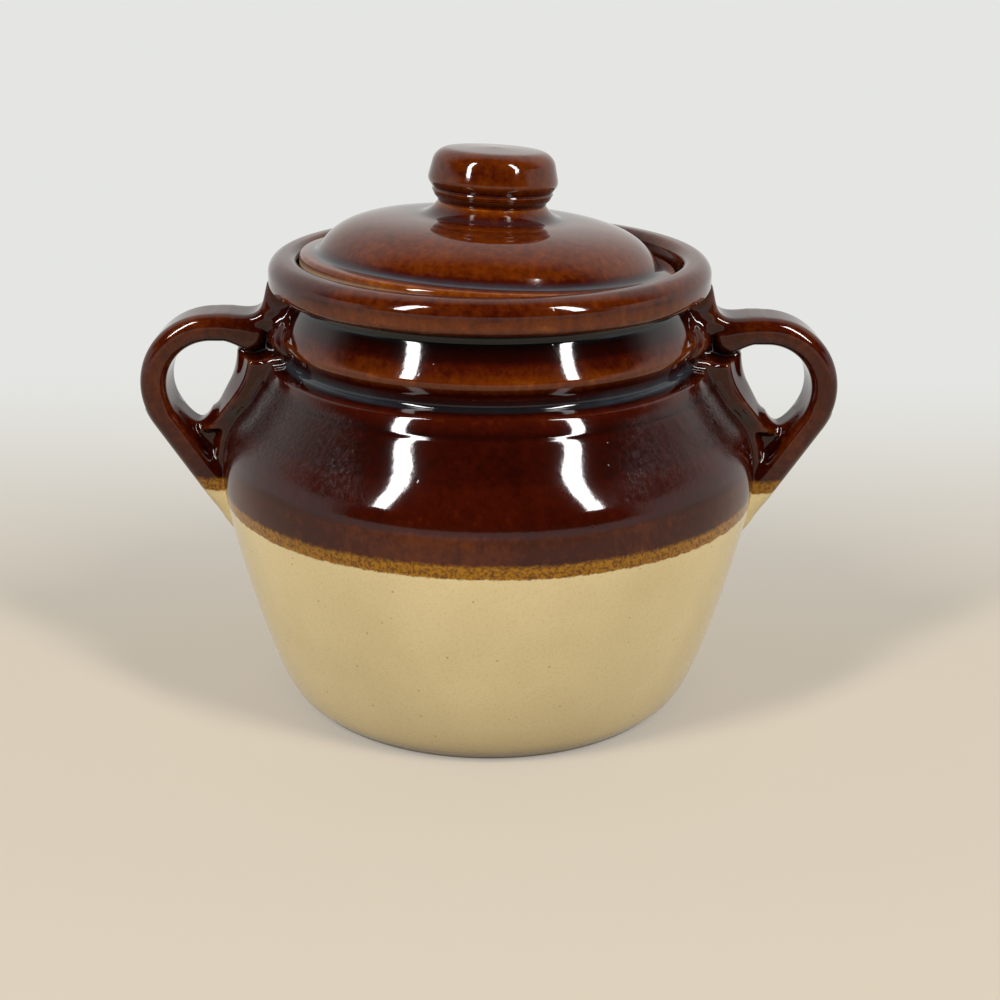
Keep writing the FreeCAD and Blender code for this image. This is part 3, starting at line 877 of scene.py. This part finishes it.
def paintDepth(mesh, passes=16, finalPasses=4):
    # the same glaze depth as on the turned pieces, from the mesh itself
    count = len(mesh.vertices)
    spots, normals = np.zeros(count * 3), np.zeros(count * 3)
    mesh.vertices.foreach_get("co", spots)
    mesh.vertex_normals.foreach_get("vector", normals)
    spots = spots.reshape(-1, 3) / mm
    ends = np.zeros(len(mesh.edges) * 2, np.int32)
    mesh.edges.foreach_get("vertices", ends)
    a, b = ends.reshape(-1, 2).T
    near = np.maximum(np.bincount(a, minlength=count) + np.bincount(b, minlength=count), 1)

    def relaxed(values):
        around = np.bincount(a, values[b], count) + np.bincount(b, values[a], count)
        return 0.5 * values + 0.5 * around / near

    soft = spots.copy()
    for _ in range(passes):
        soft = np.stack([relaxed(soft[:, k]) for k in range(3)], 1)
    depth = ((soft - spots) * normals.reshape(-1, 3)).sum(1)
    for _ in range(finalPasses):
        depth = relaxed(depth)
    paintPoints(mesh, "glazeDepth", depth)


def handlePiece(name, side, net, glaze):
    points, faces = net
    points = points * (side, 1, 1) * mm
    mesh = bpy.data.meshes.new(name)
    mesh.from_pydata(points.tolist(), [], (faces if side > 0 else faces[:, ::-1]).tolist())
    mesh.update(calc_edges=True)
    facesOut(mesh)
    mesh.polygons.foreach_set("use_smooth", [True] * len(mesh.polygons))
    paintDepth(mesh)
    mesh.materials.append(glaze)
    low, high = points[:, 0].min() / mm, points[:, 0].max() / mm
    print(f"{name}: {len(mesh.polygons)} faces, reaches x {low:.1f} to {high:.1f} mm")
    return addObject(name, mesh)


handleGlaze = glazeMaterial("handleGlaze", {
    "hollowGain": 0.6, "edgeGain": 0.5, "thickness": 0.5, "clouds": 0.3, "runs": 0.16, "mottle": 0.32,
    "paintedLightBands": (), "milkFrom": 0.25, "milkTo": 0.7, "milk": 0.6, "milkSides": 0.0, "roughness": 0.05,
    "scuffs": 0.0, "swim": 0.3, "peel": 0.014, "wrinkles": 0.0,
})

handleNet = surfaceNet(handleSkin, *handle["box"], handle["cell"])
handleRight = handlePiece("glazedHandleRight", 1, handleNet, handleGlaze)
handleLeft = handlePiece("glazedHandleLeft", -1, handleNet, handleGlaze)

for piece, body, node, slotName in ((glazedPot, "pot", "pot_body", "two_tone_glaze"),
                                    (handleLeft, "pot", "handle_left", "brown_glaze"),
                                    (handleRight, "pot", "handle_right", "brown_glaze"),
                                    (glazedLid, "lid", "lid", "brown_glaze"),
                                    (glazedKnob, "lid", "lid_knob", "brown_glaze")):
    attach(piece, body)
    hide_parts(node)
print("pieces ride on their bodies")


studio = {                        # lengths in metres
    "floor": (178, 163, 140), "floorBounce": (98, 88, 73), "wall": (229, 230, 227),
    "floorReach": 9.0, "floorCells": 8,
    "fade": (0.0, 0.42), "fadeLeast": 0.28,         # backwards, the floor runs out into the wall's white
    "far": (0.7, 1.5),                              # and so it does all round, this far away
    "front": (160, 144, 119), "frontEdge": (-0.6, -0.22),
    "windowWide": 0.24, "windowTall": 1.3, "windowAway": 2.1, "windowAround": 46.0, "windowUp": 38.0,
    "windowPower": 44.0, "windowAim": (0, 0, 0.1),
    "room": (30, 24, 20), "roomLow": (92, 68, 46), "roomRise": (0.0, 0.28),
    "roomFront": ((0.3, 0.55), (0.03, 0.07)),       # where the dark room starts: forwards, and upwards
    "roomOver": ((-0.45, 0.15), (0.24, 0.34)),
}


def floorMaterial():
    material = bpy.data.materials.new("paleFloor")
    tree = emptyTree(material)
    rays = addNode(tree, "ShaderNodeLightPath").outputs
    seen = maths(tree, "MAXIMUM", rays["Is Camera Ray"], rays["Is Glossy Ray"])
    seen = maths(tree, "MAXIMUM", seen, rays["Is Transmission Ray"])
    place = addNode(tree, "ShaderNodeTexCoord").outputs["Object"]
    behind = addNode(tree, "ShaderNodeSeparateXYZ", {0: place}).outputs["Y"]
    away = addNode(tree, "ShaderNodeVectorMath", {0: place}, operation="LENGTH").outputs["Value"]
    inFront = restOf(tree, between(tree, behind, *studio["frontEdge"]))
    colour = mixed(tree, inFront, tone(*studio["floor"]), tone(*studio["front"]))
    colour = mixed(tree, seen, tone(*studio["floorBounce"]), colour)
    floor = addNode(tree, "ShaderNodeBsdfDiffuse", {"Color": colour})
    white = addNode(tree, "ShaderNodeEmission", {"Color": tone(*studio["wall"]), "Strength": 1.0})
    least = studio["fadeLeast"]
    far = maths(tree, "MULTIPLY_ADD", between(tree, behind, *studio["fade"]), 1 - least, least)
    far = times(tree, far, restOf(tree, inFront))
    far = maths(tree, "MAXIMUM", far, between(tree, away, *studio["far"]))
    shade = addNode(tree, "ShaderNodeMixShader", {0: times(tree, far, seen),
                                                  1: floor.outputs[0], 2: white.outputs[0]})
    addNode(tree, "ShaderNodeOutputMaterial", {"Surface": shade.outputs[0]})
    return material


def addFloor():
    reach, cells = studio["floorReach"], studio["floorCells"]
    row = cells + 1
    spots = np.linspace(-reach, reach, row)
    corners = [row * j + i for j in range(cells) for i in range(cells)]
    mesh = bpy.data.meshes.new("studioFloor")
    mesh.from_pydata([(x, y, 0) for y in spots for x in spots], [],
                     [(k, k + 1, k + row + 1, k + row) for k in corners])
    mesh.materials.append(floorMaterial())
    floor = addObject("studioFloor", mesh)


def addWindow(name, side):
    # a tall soft lamp that looks at the pot
    data = bpy.data.lights.new(name, "AREA")
    data.shape = "RECTANGLE"
    data.size, data.size_y = studio["windowWide"], studio["windowTall"]
    data.energy = studio["windowPower"]
    lamp = addObject(name, data)
    around, up = math.radians(side * studio["windowAround"]), math.radians(studio["windowUp"])
    out = Vector((math.sin(around) * math.cos(up), -math.cos(around) * math.cos(up), math.sin(up)))
    lamp.location = Vector(studio["windowAim"]) + out * studio["windowAway"]
    lamp.rotation_euler = (-out).to_track_quat("-Z", "Y").to_euler()


def addWorld():
    # pale all round the horizon and behind, with a dark room in front and overhead
    world = bpy.data.worlds.new("studioAir")
    bpy.context.scene.world = world
    tree = emptyTree(world)
    way = addNode(tree, "ShaderNodeTexCoord").outputs["Generated"]
    parts = addNode(tree, "ShaderNodeSeparateXYZ", {0: way}).outputs
    front, up = times(tree, parts["Y"], -1.0), parts["Z"]
    ahead, over = (times(tree, between(tree, front, *forwards), between(tree, up, *upwards))
                   for forwards, upwards in (studio["roomFront"], studio["roomOver"]))
    dark = maths(tree, "MAXIMUM", ahead, over)
    rise = between(tree, up, *studio["roomRise"])
    room = mixed(tree, rise, tone(*studio["roomLow"]), tone(*studio["room"]))
    colour = mixed(tree, dark, tone(*studio["wall"]), room)
    air = addNode(tree, "ShaderNodeBackground", {"Color": colour, "Strength": 1.0})
    addNode(tree, "ShaderNodeOutputWorld", {"Surface": air.outputs[0]})


camera = {                        # in metres and radians, round the point that it stands over
    "away": 0.580142595, "above": 0.322460423, "turn": 0.00694028244, "dip": 0.0183797998,
    "roll": -0.00870558305, "lens": 63.0, "sensor": 36, "clip": (0.01, 20), "lookAt": (0, 0, 0.075),
}


def addCamera():
    above, dip, turn, roll = (camera[key] for key in ("above", "dip", "turn", "roll"))
    place = Vector(camera["lookAt"]) + camera["away"] * Vector((0, -math.cos(above), math.sin(above)))
    down = above + dip
    ahead = Vector((math.sin(turn) * math.cos(down), math.cos(turn) * math.cos(down), -math.sin(down)))
    levelRight = Vector((math.cos(turn), -math.sin(turn), 0))
    levelUp = levelRight.cross(ahead)
    right = levelRight * math.cos(roll) - levelUp * math.sin(roll)
    up = levelRight * math.sin(roll) + levelUp * math.cos(roll)
    data = bpy.data.cameras.new("camera")
    data.sensor_width = camera["sensor"]
    data.lens = camera["lens"]
    data.clip_start, data.clip_end = camera["clip"]
    thing = addObject("camera", data)
    thing.matrix_world = Matrix(((right.x, up.x, -ahead.x, place.x), (right.y, up.y, -ahead.y, place.y),
                                 (right.z, up.z, -ahead.z, place.z), (0, 0, 0, 1)))
    bpy.context.scene.camera = thing


addFloor()
addWorld()
addWindow("windowLeft", -1)
addWindow("windowRight", 1)
addCamera()
bpy.context.scene.view_settings.view_transform = "Standard"
print("studio set")
